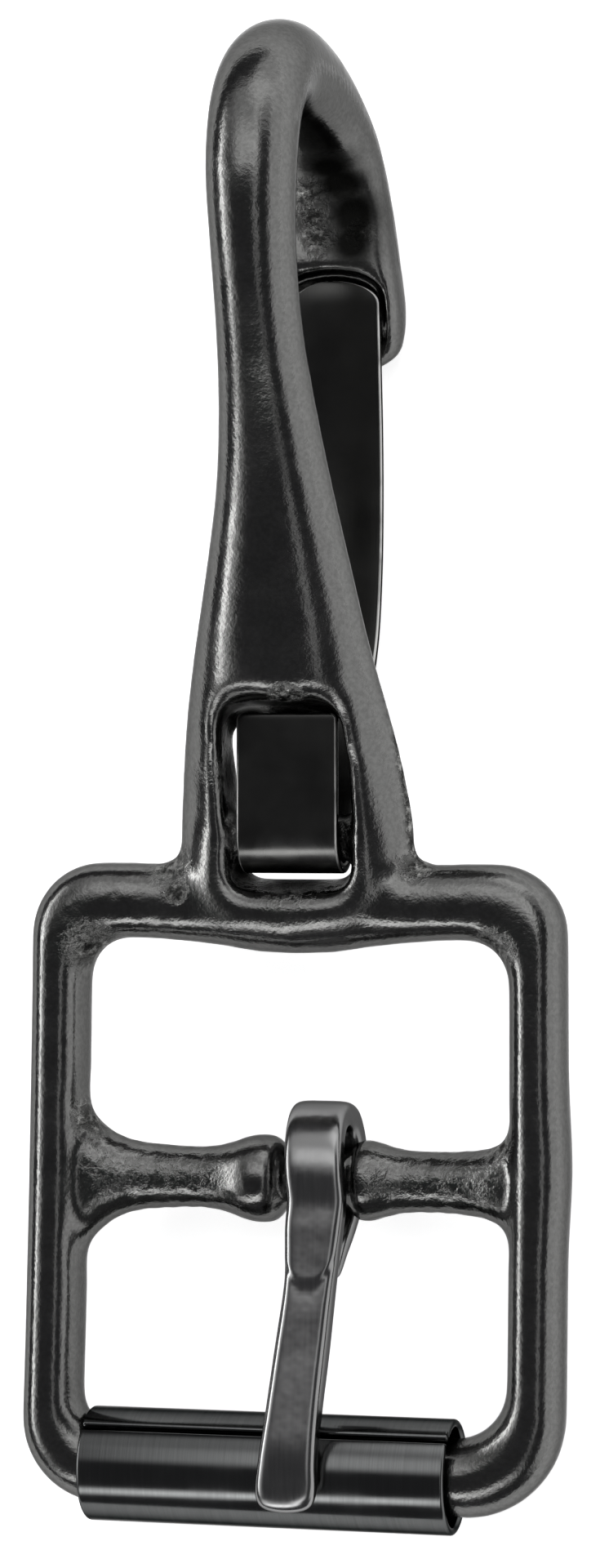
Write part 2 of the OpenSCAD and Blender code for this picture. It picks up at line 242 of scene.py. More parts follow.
# The hook, from the base's lower edge up the shank, over the arch and down the nose.
# Columns: y, z, half width, half depth, squareness outside, squareness inside, narrowing of the outer face.
hook_rows = [
    [0.15, 13.2, 2.5, 0.8, 2, 2, 0],
    [0.05, 13.8, 5.2, 1.7, 2.2, 2, 0.1],
    [-0.1, 14.8, 6.9, 2.35, 2.6, 2.1, 0.15],
    [-0.25, 16.6, 7.5, 2.6, 3.0, 2.2, 0.18],
    [-0.3, 18.7, 7.2, 2.65, 3.2, 2.3, 0.22],
    [-0.45, 20.6, 7.05, 2.6, 3.3, 2.4, 0.25],
    [-1.5, 24.0, 6.6, 2.55, 3.3, 2.6, 0.28],
    [-2.75, 27.2, 6.0, 2.5, 3.3, 2.8, 0.28],
    [-3.8, 30.7, 5.25, 2.4, 3.2, 2.8, 0.27],
    [-4.5, 35.2, 4.35, 2.3, 3.0, 2.6, 0.24],
    [-5.4, 39.9, 3.45, 2.25, 2.7, 2.4, 0.18],
    [-6.8, 44.4, 2.85, 2.2, 2.4, 2.2, 0.1],
    [-8.4, 48.7, 2.5, 2.2, 2.2, 2.2, 0.04],
    [-9.7, 53.3, 2.45, 2.3, 2.1, 2.2, 0],
    [-10.1, 57.5, 2.6, 2.45, 2.1, 2.3, 0],
    [-9.2, 60.9, 2.65, 2.5, 2.1, 2.2, 0],
    [-7.0, 63.2, 2.65, 2.6, 2.1, 2.2, 0],
    [-3.8, 64.15, 2.6, 2.85, 2.1, 2.3, 0],
    [0.2, 63.95, 2.65, 2.85, 2.1, 2.5, 0],
    [4.1, 63.0, 2.75, 2.6, 2.1, 2.8, 0],
    [7.4, 61.1, 3.0, 2.35, 2.2, 3.2, 0],
    [9.15, 58.7, 3.2, 2.35, 2.3, 3.8, 0],
    [9.7, 56.5, 3.45, 2.6, 2.4, 4.5, 0],
    [9.8, 54.4, 3.7, 2.75, 2.5, 5, 0],
    [9.8, 52.2, 4.0, 2.65, 2.6, 5.5, 0],
    [10.05, 50.4, 4.0, 2.3, 2.5, 4, 0],
    [10.3, 48.9, 3.6, 1.7, 2.3, 2.8, 0],
    [10.5, 47.9, 2.0, 0.8, 2, 2, 0],
]
hook = through(hook_rows, 8)
hook_shape = skin("hook", along(hook[:, :2], 0, *hook[:, 2:6].T, sides=96, pinch=hook[:, 6]))

# The centre bar's two halves: wide where they join the side bars, then slim, then a ball-like collar beside
# the neck that the tongue turns on. Columns: x, middle y, half height, half depth.
bar_y = 1.0
bar_z = -0.12
bar_square = 2.1
neck_r = 1.6
bar_left_rows = [
    [-14.4, 0, 4.8, 1.3], [-13.2, 0.1, 4.6, 1.6], [-12.4, 0.25, 3.7, 1.8], [-11.6, 0.45, 2.8, 1.85],
    [-10.7, 0.65, 2.3, 1.85], [-9.4, 0.9, 2.0, 1.85], [-7.2, 1, 1.85, 1.85], [-5.6, 1, 1.85, 1.85],
    [-4.3, 1, 2.1, 2.1], [-3.4, 1, 2.45, 2.45], [-2.5, 1, 2.62, 2.62], [-1.8, 1, 2.6, 2.6],
    [-1.35, 1, 2.45, 2.45], [-1.05, 1, 2.05, 2.05],
]
bar_right_rows = [
    [3.2, 1, 2.1, 2.1], [3.5, 1, 2.38, 2.38], [4.2, 1, 2.42, 2.42], [5.2, 1, 2.1, 2.1], [6.4, 1, 1.85, 1.85],
    [8.2, 1, 1.82, 1.82], [9.8, 0.85, 1.88, 1.85], [11.2, 0.5, 2.1, 1.8], [12.1, 0.25, 2.5, 1.75],
    [12.9, 0.1, 3.1, 1.6], [14.2, 0, 3.6, 1.3],
]


def bar_half(name, rows):
    """Nearly round sections along x through the rows."""
    x, y, half_height, half_depth = through(rows, 6).T
    centres = np.column_stack([x, y, np.full(len(x), bar_z)])
    return skin(name, sections(
        centres, [0, 1, 0], [0, 0, 1], half_depth, half_height, bar_square, bar_square, sides=48))


def round_bar(name, x_from, x_to, y, z, radius):
    """A plain cylinder along x: a circle at each end."""
    centres = np.array([[x, y, z] for x in (x_from, x_to)], float)
    return skin(name, sections(centres, [0, 1, 0], [0, 0, 1], radius, radius, 2, 2, sides=48))


combine(casting, [
    hook_shape,
    bar_half("bar_left", bar_left_rows),
    bar_half("bar_right", bar_right_rows),
    round_bar("axle", -10.9, 10.9, 0, AXLE_Z, axle_r),
    round_bar("neck", -1.8, 3.7, bar_y, bar_z, neck_r)], "UNION")

# The window through the base. Its upper edge is arched and a little narrower than the lower one in front, and
# a little wider behind. Columns: y, half width, lower edge, upper edge, share narrower at the upper edge.
window_rows = [
    [-9, 4.2, 15.6, 28.4, 0.05], [-4.6, 3.85, 16.1, 27.6, 0.05], [-2.0, 3.8, 16.7, 27.5, 0],
    [-0.5, 3.78, 17.2, 26.8, -0.05], [1.0, 3.72, 17.45, 26.5, -0.05], [2.5, 4.0, 17.2, 26.9, -0.05],
    [6, 4.5, 16.2, 30, -0.05],
]
window_sides = 96
window_square = 8
arch_rise = 0.35
arch_half_width = 3.8
arch_from_y = -2
arch_fade = 3
window_y, window_half_width, window_low, window_high, narrower = through(window_rows, 6).T
window_z = (window_low + window_high) / 2
window_half_height = (window_high - window_low) / 2
rim = sections(
    np.column_stack([np.zeros(len(window_y)), window_y, window_z]), [0, 0, 1], [1, 0, 0], window_half_height,
    window_half_width, window_square, window_square, window_sides)
above = rim[..., 2] - window_z[:, None]
rim[..., 0] *= 1 - narrower[:, None] * above / window_half_height[:, None]
in_front = np.clip((arch_from_y - rim[..., 1]) / arch_fade, 0, 1)
rim[..., 2] += arch_rise * in_front * (1 - (rim[..., 0] / arch_half_width) ** 2) * (above > 0)
window = skin("window", rim)

# The seat in the nose for the end of the leaf. Columns: z, back wall y, half width.
seat_rows = [
    [46, 9.7, 3.3], [49, 9.1, 3.3], [51.1, 8.7, 3.3], [52.1, 8.55, 3.28], [52.8, 8.45, 2.98],
    [53.3, 8.4, 2.3], [53.6, 8.35, 1.4], [53.7, 8.3, 0.5],
]
seat_half_depth = 3
seat_square = 9
seat_z, seat_back_y, seat_half_width = through(seat_rows, 6).T
seat_centres = np.column_stack([np.zeros(len(seat_z)), seat_back_y - seat_half_depth, seat_z])
seat = skin("seat", sections(
    seat_centres, [1, 0, 0], [0, 1, 0], seat_half_width, seat_half_depth, seat_square, seat_square, sides=64))
combine(casting, [window, seat], "DIFFERENCE")

# The crossbar in the window, round which the spring is folded.
crossbar_y = -0.5
crossbar_z = 19.9
crossbar_r = 1.35
combine(casting, [round_bar("crossbar", -5, 5, crossbar_y, crossbar_z, crossbar_r)], "UNION")

# The mould's rounded edges: the solid is rebuilt on a fine even mesh, and its points move to the middle of
# their neighbours, a little everywhere and more in the corners where the metal ran together.
mesh_size = 0.22
grain = casting.modifiers.new("even mesh", "REMESH")
grain.mode = "VOXEL"
grain.voxel_size = mesh_size
settle(casting)


def points_of(mesh):
    """The mesh's vertices as an array."""
    flat = np.empty(len(mesh.vertices) * 3)
    mesh.vertices.foreach_get("co", flat)
    return flat.reshape(-1, 3)


def near(points, spots):
    """How close each point is to any spot of x, y, z, radius: one at the middle, falling smoothly to none."""
    spots = np.asarray(spots, float)
    far = np.linalg.norm(points[:, None] - spots[None, :, :3], axis=2) / spots[:, 3]
    close = np.clip(1 - far, 0, 1)
    return (close**2 * (3 - 2 * close)).max(axis=1)


def melted(mesh, points, amount, rounds):
    """Moves each point towards the mean of its joined neighbours by its own share of the way, for that many
    rounds."""
    edges = np.empty(len(mesh.edges) * 2, int)
    mesh.edges.foreach_get("vertices", edges)
    one, two = edges.reshape(-1, 2).T
    count = len(points)
    joined = np.bincount(one, minlength=count) + np.bincount(two, minlength=count)
    for _ in range(rounds):
        mean = np.column_stack([
            np.bincount(one, points[two, k], count) + np.bincount(two, points[one, k], count)
            for k in range(3)]) / joined[:, None]
        points = points + (mean - points) * amount[:, None]
    return points


# The corners between the bars, the base, the crossbar and the nose's hollow.
junctions = [
    [-13.0, 0, 4.2, 2.6], [-13.0, 0, -4.4, 2.6], [12.4, 0, 2.6, 2.4], [12.4, 0, -2.8, 2.4],
    [-7.6, 0, 18.5, 2.6], [7.6, 0, 18.5, 2.6], [-12.0, 0, 13.4, 2.0], [12.0, 0, 13.4, 2.0],
    [0, 6.9, 59.1, 2.9], [-3.8, -0.5, 19.9, 1.9], [3.8, -0.5, 19.9, 1.9], [-7.2, -2.0, 16.4, 3.2],
    [7.2, -2.0, 16.4, 3.2], [-5.2, -2.2, 14.6, 3.2], [5.2, -2.2, 14.6, 3.2], [-2.0, -2.2, 13.8, 2.6],
    [2.0, -2.2, 13.8, 2.6], [-3.6, 0.6, 17.6, 1.4], [3.6, 0.6, 17.6, 1.4], [0.6, 7.0, 57.4, 3.4],
    [0.4, 6.4, 59.4, 3.2],
]

# The window's lip: for each side of the rim, the point where it meets the base's front face, then a chain of
# spots along these points, about half a millimetre apart.
lip_spot_count = 72
lip_spot_r = 1.5
face_y = np.interp(rim[..., 2], [16.5, 19.4, 23.3, 27.5], [-2.8, -3.0, -3.85, -5.2])
front_ring = np.abs(rim[..., 1] - face_y).argmin(axis=0)
lip = rim[front_ring, np.arange(window_sides)]
lip = spaced(np.concatenate([lip, lip[:1]]), np.linspace(0, 1, lip_spot_count))
lip_spots = np.column_stack([lip, np.full(lip_spot_count, lip_spot_r)])

# The nose's inner face is dished, and a small burr hangs forward over the window's upper edge.
dish_spots = [[0.1, 7.2, 56.6, 3.2], [0.1, 6.6, 58.4, 3.2]]
dish_depth = 0.5
burr_spot = [0.7, -5.0, 28.2, 1.3]
burr_push = [0, -0.25, -0.5]
cast_points = points_of(casting.data)
for dish_spot in dish_spots:
    cast_points[:, 1] += dish_depth * near(cast_points, [dish_spot])
cast_points += burr_push * near(cast_points, [burr_spot])[:, None]

melt_share = 0.5
corner_melt_share = 0.6
cast_points = melted(casting.data, cast_points, np.full(len(cast_points), melt_share), 18)
for spots, rounds in ((junctions, 60), (lip_spots, 40)):
    cast_points = melted(casting.data, cast_points, corner_melt_share * near(cast_points, spots), rounds)

# Lumps that the sand left on the bars and in the nose's hollow: the product of two waves along different
# axes, the first one swaying. They come after the melts, which would take them away, and get a short melt of
# their own.
lumpy_spots = [
    [-11.5, 0.4, 0, 3.5], [-9, 0.8, 0, 3.4], [-6.5, 1, 0, 3.4], [-4, 1, 0, 3.0], [5.5, 1, 0, 3.4],
    [8.5, 0.8, 0, 3.4], [11, 0.5, 0, 3.4], [-7, 0, 17, 3.0], [7.2, 0, 17, 3.0], [-0.9, 7.0, 57.0, 2.6],
]
faint_lump_spots = [
    [-13.2, -1.5, 15.0, 2.8], [-10.6, -1.5, 16.4, 3.0], [-8.4, -1.5, 15.2, 2.8], [10.5, -1.5, 15.8, 2.4],
]
faint_share = 0.3
lump_height = 0.06
lump_size = 1.1
other_lump_size = 1.37 * lump_size
sway = 1.7
sway_size = 2.9
lumpy = np.maximum(near(cast_points, lumpy_spots), faint_share * near(cast_points, faint_lump_spots))
swaying = sway * np.sin(cast_points * 2 * np.pi / sway_size)
push = np.sin(cast_points[:, [1, 2, 0]] * 2 * np.pi / lump_size + swaying)
push *= np.cos(cast_points[:, [2, 0, 1]] * 2 * np.pi / other_lump_size)
cast_points += push * lump_height * lumpy[:, None]
cast_points = melted(casting.data, cast_points, melt_share * lumpy, 3)

# Where the tumbling could not reach, the sand's skin still shows: the nose's hollow, the window's walls and
# the frame's corners. It is crusty on the burr and beside the base, and faint along the centre bar.
sand_spots = [
    [-1.2, 6.9, 58.2, 1.5], [-1.1, 7.2, 57.0, 1.6], [-0.6, 7.3, 55.8, 1.4], [1.9, 7.4, 55.9, 1.1],
    [-3.9, 0, 18.0, 2.6], [3.9, 0, 18.0, 2.8], [0, 0, 17.0, 3.5], [-7.4, -1.5, 18.4, 1.8],
    [7.4, -1.5, 18.4, 1.5], [-12.3, -1.0, 13.6, 2.4], [12.3, -1.0, 13.6, 2.0], [-12.6, -0.5, 3.2, 1.8],
    [12.4, -0.5, 2.2, 1.6], [0, -0.5, 27.0, 2.4], [-4.0, -0.5, 20.0, 2.0], [4.0, -0.5, 20.0, 2.0],
    [-4.1, -1.5, 24.0, 2.2],
]
crust_spots = [[0.7, -5.1, 28.0, 1.3], [-6.8, -2.2, 16.7, 0.9], [7.5, -1.2, 18.2, 0.9]]
bar_spots = [[x, -0.9, 0.2, 2.2] for x in (-11.5, -9.5, -7.5, -5.5, 5.2, 7.2, 9.2, 11.2)]
crust_strength = 2.2
flank_strength = 1.6
bar_strength = 0.12

# The mould's joint is a faint raised line along the hook's right side: over the arch and the nose, and down
# the base's flank, where it is crusty too. The rows of x, y, z are moved onto the nearest points of the skin.
arch_joint_rows = [
    [2.6, -9.6, 60.5], [2.7, -7.0, 63.2], [2.65, -3.8, 64.1], [2.7, 0.2, 64.0], [2.8, 4.1, 63.0],
    [3.05, 7.4, 61.1], [3.25, 9.1, 58.7], [3.5, 9.6, 56.5], [3.7, 9.7, 54.4],
]
flank_joint_rows = [
    [5.75, -2.0, 28.6], [6.3, -1.4, 25.4], [6.95, -0.6, 21.8], [7.15, -0.3, 19.6], [7.35, -0.2, 18.2],
]
joint_width = 0.22
flank_width = 0.4
flank_top = 29
joint = np.concatenate([through(arch_joint_rows, 12), through(flank_joint_rows, 20)])
joint = cast_points[((cast_points[:, None] - joint[None]) ** 2).sum(axis=2).argmin(axis=0)]
to_joint = np.sqrt(((cast_points[:, None] - joint[None]) ** 2).sum(axis=2).min(axis=1))
on_joint = np.exp(-((to_joint / joint_width) ** 2))
on_flank = np.exp(-((to_joint / flank_width) ** 2)) * (cast_points[:, 2] < flank_top)
sandy = np.max([
    near(cast_points, sand_spots), crust_strength * near(cast_points, crust_spots), flank_strength * on_flank,
    bar_strength * near(cast_points, bar_spots)], axis=0)

# Painted shade: the nose's hollow and the window's walls are painted nearly black, and made duller, where
# shade falls in them.
painted_shade_spots = [
    [1.4, 7.7, 55.3, 2.7], [1.5, 7.2, 57.0, 3.1], [0.9, 6.6, 58.6, 3.0], [0.4, 5.8, 60.2, 3.0],
    [-3.9, 0, 18.0, 2.4], [3.9, 0, 18.0, 2.4], [3.9, -0.8, 21.0, 1.4], [-3.9, -0.8, 21.0, 1.4],
    [0, 0.2, 17.2, 3.0], [-4.0, -0.5, 20.3, 2.2], [4.0, -0.5, 20.3, 2.2], [-4.1, -1.2, 23.5, 2.2],
    [-3.0, -3.4, 27.2, 1.8], [-1.0, -3.4, 27.4, 1.8], [1.0, -3.4, 27.4, 1.8], [3.0, -3.4, 27.2, 1.8],
    [3.2, -0.8, 21.2, 1.2], [4.1, -1.2, 23.5, 2.2], [0, -0.8, 27.0, 2.6], [-2.5, -0.8, 27.0, 2.0],
    [2.5, -0.8, 27.0, 2.0],
]
painted_shade_strength = 1.3
painted_shade_amount = painted_shade_strength * near(cast_points, painted_shade_spots)


def mark(piece, name, values):
    """Keeps a value for each vertex, from none to one, under the name that the piece's material reads."""
    piece.data.attributes.new(name, "FLOAT", "POINT").data.foreach_set("value", np.clip(values, 0, 1))


def shade_smooth(piece):
    """Smooth shading all over."""
    piece.data.polygons.foreach_set("use_smooth", np.ones(len(piece.data.polygons), bool))
    piece.data.update()


casting.data.vertices.foreach_set("co", laid(cast_points).ravel())
# In the material, the sand's skin carries painted shade in its pits and painted glints on its scabs.
mark(casting, "sand_skin", sandy)
mark(casting, "painted_shade", painted_shade_amount)
mark(casting, "mould_line", on_joint)
shade_smooth(casting)


def colour(code):
    """A hex colour as it looks on a screen, turned into the linear colour that the shader works in."""
    shown = np.array([int(code[k:k + 2], 16) for k in (1, 3, 5)]) / 255
    linear = np.where(shown <= 0.04045, shown / 12.92, ((shown + 0.055) / 1.055) ** 2.4)
    return (*linear.tolist(), 1.0)


def add(tree, kind, inputs=None, **settings):
    """Adds a node, sets its own properties, and gives each named socket a value or another node's output."""
    node = tree.nodes.new(kind)
    for name, value in settings.items():
        setattr(node, name, value)
    for name, value in (inputs or {}).items():
        if isinstance(value, bpy.types.NodeSocket):
            tree.links.new(value, node.inputs[name])
        else:
            node.inputs[name].default_value = value
    return node


def new_material(name):
    """An empty material with its output node. Gives the material, its tree and the output's socket."""
    material = bpy.data.materials.new(name)
    material.use_nodes = True
    material.node_tree.nodes.clear()
    return material, material.node_tree, add(material.node_tree, "ShaderNodeOutputMaterial").inputs["Surface"]


# Black nickel over tumbled cast iron: a dark grey mirror. Shallow waves and pores of the iron show through
# the thin plating as soft, broken highlights. The sand's skin is pitted and duller, with painted shade in its
# pits and painted glints on its scabs, and in the hollows painted shade takes nearly all the shine. Real pores
# are finer: they are drawn as coarse as they need to be to show.
wave_size = 1.8 * MM
pore_size = 0.25 * MM
scab_size = 0.5 * MM
material, tree, surface = new_material("black nickel plated cast iron")
place = add(tree, "ShaderNodeTexCoord").outputs["Object"]
sand_skin = add(tree, "ShaderNodeAttribute", attribute_name="sand_skin").outputs["Fac"]
mould_line = add(tree, "ShaderNodeAttribute", attribute_name="mould_line").outputs["Fac"]
painted_shade = add(tree, "ShaderNodeAttribute", attribute_name="painted_shade").outputs["Fac"]
waves = add(tree, "ShaderNodeTexNoise", {
    "Vector": place, "Scale": 1 / wave_size, "Detail": 2.0, "Roughness": 0.45})
pores = add(tree, "ShaderNodeTexNoise", {
    "Vector": place, "Scale": 1 / pore_size, "Detail": 2.0, "Roughness": 0.6})
scabs = add(tree, "ShaderNodeTexNoise", {
    "Vector": place, "Scale": 1 / scab_size, "Detail": 4.0, "Roughness": 0.65})
scab_height = add(tree, "ShaderNodeMapRange", {
    "Value": scabs.outputs["Fac"], "From Min": 0.40, "From Max": 0.62}, interpolation_type="SMOOTHSTEP")
waved = add(tree, "ShaderNodeBump", {"Height": waves.outputs["Fac"], "Distance": 0.07 * MM, "Strength": 0.5})
pored = add(tree, "ShaderNodeBump", {
    "Height": pores.outputs["Fac"], "Distance": 0.018 * MM, "Strength": 0.9,
    "Normal": waved.outputs["Normal"]})
sand_height = add(tree, "ShaderNodeMath", {
    0: scab_height.outputs["Result"], 1: sand_skin}, operation="MULTIPLY")
pitted = add(tree, "ShaderNodeBump", {
    "Height": sand_height.outputs["Value"], "Distance": 0.16 * MM, "Strength": 0.9,
    "Normal": pored.outputs["Normal"]})
broken_line = add(tree, "ShaderNodeMath", {0: scabs.outputs["Fac"], 1: mould_line}, operation="MULTIPLY")
lined = add(tree, "ShaderNodeBump", {
    "Height": broken_line.outputs["Value"], "Distance": 0.2 * MM, "Strength": 0.8,
    "Normal": pitted.outputs["Normal"]})
plating_roughness = add(tree, "ShaderNodeMapRange", {
    "Value": waves.outputs["Fac"], "From Min": 0.3, "From Max": 0.7, "To Min": 0.14, "To Max": 0.21})
# Where shade is painted, the surface is also made duller.
painted_shade_roughness = add(tree, "ShaderNodeMath", {
    0: painted_shade, 1: 0.25, 2: plating_roughness.outputs["Result"]}, operation="MULTIPLY_ADD")
roughness = add(tree, "ShaderNodeMath", {
    0: sand_skin, 1: 0.14, 2: painted_shade_roughness.outputs["Value"]}, operation="MULTIPLY_ADD")
mottle = add(tree, "ShaderNodeMapRange", {"Value": pores.outputs["Fac"], "From Min": 0.35, "From Max": 0.65})
plating_tone = add(tree, "ShaderNodeMix", {
    "Factor": mottle.outputs["Result"], "A": colour("#5c5c5b"), "B": colour("#676766")}, data_type="RGBA")
# Painted shade in the sand skin's pits and painted glints on its scabs: dark where low, light where high.
painted_pit_shade_and_glints = add(tree, "ShaderNodeMix", {
    "Factor": scab_height.outputs["Result"], "A": colour("#2c2c2b"), "B": colour("#868684")},
    data_type="RGBA")
tone = add(tree, "ShaderNodeMix", {
    "Factor": sand_skin, "A": plating_tone.outputs["Result"], "B": painted_pit_shade_and_glints.outputs["Result"]},
    data_type="RGBA")
# Painted shade: the colour goes nearly black where shade falls in the hollows and the window.
painted_shade_tone = add(tree, "ShaderNodeMix", {
    "Factor": painted_shade, "A": tone.outputs["Result"], "B": colour("#161615")}, data_type="RGBA")
plated = add(tree, "ShaderNodeBsdfPrincipled", {
    "Base Color": painted_shade_tone.outputs["Result"], "Metallic": 1.0, "Roughness": roughness.outputs["Value"],
    "Specular Tint": colour("#b0b0b0"), "Normal": lined.outputs["Normal"]})
tree.links.new(plated.outputs["BSDF"], surface)
casting.data.materials.clear()
casting.data.materials.append(material)
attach(casting, "casting")
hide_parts("casting")


# The roller
# A strip of sheet steel rolled into a tube round the frame's bottom bar, with its open seam at the upper
# front. It is plated black too, and fine lines from drawing the strip run round it.

roller_r = 3.35
roller_wall = 0.5
roller_from = -12.55
roller_length = 22
roller_edge_r = 0.2
seam_angle = 48
seam_gap = 0.3


def box_offsets(half_width, half_depth, radius, steps):
    """Outline of a box with rounded corners: each corner's middle plus a quarter circle round it. Gives the
    offset across and the offset in depth, one row for each half width and half depth."""
    angle = np.concatenate([np.linspace(start, start + np.pi / 2, steps)
                            for start in (0, np.pi / 2, np.pi, 3 * np.pi / 2)])
    right = np.repeat([1, -1, -1, 1], steps)
    front = np.repeat([1, 1, -1, -1], steps)
    radius = np.reshape(radius, (-1, 1))
    wide = right * (np.reshape(half_width, (-1, 1)) - radius) + radius * np.cos(angle)
    far = front * (np.reshape(half_depth, (-1, 1)) - radius) + radius * np.sin(angle)
    return wide, far


def rounding(distance, radius):
    """How much a solid has drawn in at a distance from its end, where its edge is a quarter circle: the
    radius less the circle's height there."""
    return radius - np.sqrt(radius**2 - np.clip(radius - distance, 0, None) ** 2)


# Boxes carried round the tube from one edge of the seam to the other. Both edges are rounded: the box shrinks
# through the wall by the whole rounding, and along the tube by half of it.
middle_r = roller_r - roller_wall / 2
round_length = 2 * np.pi * middle_r - seam_gap
run = np.concatenate([
    np.linspace(0, roller_edge_r, 6),
    np.linspace(roller_edge_r, round_length - roller_edge_r, 150)[1:-1],
    round_length - np.linspace(roller_edge_r, 0, 6)])
drawn_in = rounding(np.minimum(run, round_length - run), roller_edge_r)
turn = np.radians(180 - seam_angle) + (run + seam_gap / 2) / middle_r
wide, far = box_offsets(
    roller_length / 2 - 0.5 * drawn_in, roller_wall / 2 - drawn_in, roller_edge_r - 0.9 * drawn_in, steps=5)
tube = np.stack([
    roller_from + roller_length / 2 + wide,
    (middle_r + far) * np.cos(turn)[:, None],
    AXLE_Z + (middle_r + far) * np.sin(turn)[:, None]], axis=-1)
roller = skin("roller_black_nickel", laid(tube))
shade_smooth(roller)

# Black nickel over rolled steel strip: darker and smoother than the casting, with fine lines round the tube,
# which draw a highlight out along it. The lines are drawn coarser than real ones, so that they show.
line_gap = 0.09 * MM
line_length = 4 * MM
wear_size = 3.0 * MM
material, tree, surface = new_material("black nickel plated rolled steel")
place = add(tree, "ShaderNodeTexCoord").outputs["Object"]
stretched = add(tree, "ShaderNodeMapping", {
    "Vector": place, "Scale": (1 / line_gap, 1 / line_length, 1 / line_length)})
lines = add(tree, "ShaderNodeTexNoise", {"Vector": stretched.outputs["Vector"], "Scale": 1.0, "Detail": 2.0})
wear = add(tree, "ShaderNodeTexNoise", {"Vector": place, "Scale": 1 / wear_size, "Detail": 3.0})
scored = add(tree, "ShaderNodeBump", {
    "Height": lines.outputs["Fac"], "Distance": 0.004 * MM, "Strength": 0.5})
dull = add(tree, "ShaderNodeMapRange", {
    "Value": wear.outputs["Fac"], "From Min": 0.3, "From Max": 0.7, "To Min": 0.11, "To Max": 0.19})
streak = add(tree, "ShaderNodeMapRange", {"Value": lines.outputs["Fac"], "From Min": 0.3, "From Max": 0.7})
tone = add(tree, "ShaderNodeMix", {
    "Factor": streak.outputs["Result"], "A": colour("#525353"), "B": colour("#5a5b5b")}, data_type="RGBA")
plated = add(tree, "ShaderNodeBsdfPrincipled", {
    "Base Color": tone.outputs["Result"], "Metallic": 1.0, "Roughness": dull.outputs["Result"],
    "Specular Tint": colour("#8c8c8c"), "Normal": scored.outputs["Normal"]})
tree.links.new(plated.outputs["BSDF"], surface)
roller.data.materials.append(material)
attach(roller, "roller")
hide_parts("roller")


# The tongue
# One strip of steel wrapped round the neck of the centre bar: its tapered tail lies behind, and the rod runs
# down the front to a flattened round tip on the roller. It is stamped, pinched narrow under the bar, and
# plated black.

# Columns: x, y, z, half width, half thickness, squareness inside, squareness outside.
tail_rows = [
    [1.98, 0.85, -5.8, 0.12, 0.2, 2, 2],
    [1.95, 0.98, -5.5, 0.4, 0.48, 2.2, 2.2],
    [1.84, 1.45, -4.3, 0.8, 0.65, 2.6, 2.6],
    [1.72, 2.3, -3.1, 1.15, 0.7, 3, 3],
    [1.58, 3.4, -1.8, 1.4, 0.75, 3.6, 3.6],
    [1.46, 4.1, -0.6, 1.58, 0.78, 4, 4],
]
rod_rows = [
    [1.77, -2.3, -1.0, 1.69, 0.8, 4, 4.5],
    [1.67, -2.42, -2.6, 1.67, 0.88, 3.4, 4.5],
    [1.6, -2.5, -4.2, 1.57, 1.0, 2.6, 4.6],
    [1.5, -2.62, -6.0, 1.48, 1.12, 2.3, 4.6],
    [1.15, -3.0, -9.5, 1.55, 1.2, 2.2, 4.6],
    [0.83, -3.68, -13.0, 1.6, 1.08, 2.2, 4.6],
    [0.62, -4.3, -15.6, 1.7, 0.85, 2.4, 4.2],
    [0.5, -4.35, -17.2, 1.8, 0.75, 2.8, 3.8],
    [0.43, -4.32, -18.1, 1.68, 0.66, 2.5, 2.8],
    [0.4, -4.28, -18.55, 1.3, 0.5, 2.3, 2.4],
    [0.38, -4.25, -18.75, 0.6, 0.25, 2, 2],
]

# Between them the strip goes round the neck on a circle, and drifts to the right over its last rows.
loop_y = 1.0
loop_z = 0.4
loop_r = 3.3
wrap_x = 1.34
wrap_drift = 0.1
drift_from = 4
strip_half_width = 1.69
strip_half_thick = 0.8
wrap_square = 5
wrap_rows = [
    [wrap_x + wrap_drift * max(0, k - drift_from), loop_y + loop_r * np.cos(a), loop_z + loop_r * np.sin(a),
     strip_half_width, strip_half_thick, wrap_square, wrap_square]
    for k, a in enumerate(np.radians([8, 32, 60, 90, 112, 135, 157, 178]))
]
strip = through(tail_rows + wrap_rows + rod_rows, 10)
strip_grid = along(strip[:, 1:3], strip[:, 0], *strip[:, 3:].T, sides=128)

# On the front face, the wrap's flat ends in a U-shaped step: a parabola across the strip, where the face
# drops by the step's depth and comes back lower down.
step_depth = 0.10
step_x = 1.52
step_z = -5.6
step_half_width = 1.5
step_rise = 1.5
step_top = 0.5
step_fade = 1.3
front_y = -2.6
front_fade = 0.6
across = (strip_grid[..., 0] - step_x) / step_half_width
below = step_z + step_rise * across**2 - strip_grid[..., 2]
on_front = np.clip((front_y - strip_grid[..., 1]) / front_fade, 0, 1) * (strip_grid[..., 2] < -3)
step = np.clip(below / step_top, 0, 1) * np.exp(-np.clip(below, 0, None) / step_fade)
strip_grid[..., 1] += step_depth * step * on_front
tongue = skin("tongue_black_nickel", laid(strip_grid))
shade_smooth(tongue)

# Black nickel over stamped steel: a smooth dark mirror with a few soft scratches along the rod, drawn coarser
# than real ones, so that they show.
wave_size = 1.6 * MM
scratch_size = (0.2 * MM, 5 * MM, 0.5 * MM)
material, tree, surface = new_material("black nickel plated stamped steel")
place = add(tree, "ShaderNodeTexCoord").outputs["Object"]
waves = add(tree, "ShaderNodeTexNoise", {"Vector": place, "Scale": 1 / wave_size, "Detail": 2.0})
drawn = add(tree, "ShaderNodeMapping", {"Vector": place, "Scale": [1 / size for size in scratch_size]})
scratch = add(tree, "ShaderNodeTexNoise", {"Vector": drawn.outputs["Vector"], "Scale": 1.0, "Detail": 3.0})
waved = add(tree, "ShaderNodeBump", {"Height": waves.outputs["Fac"], "Distance": 0.04 * MM, "Strength": 0.5})
scored = add(tree, "ShaderNodeBump", {
    "Height": scratch.outputs["Fac"], "Distance": 0.003 * MM, "Strength": 0.5,
    "Normal": waved.outputs["Normal"]})
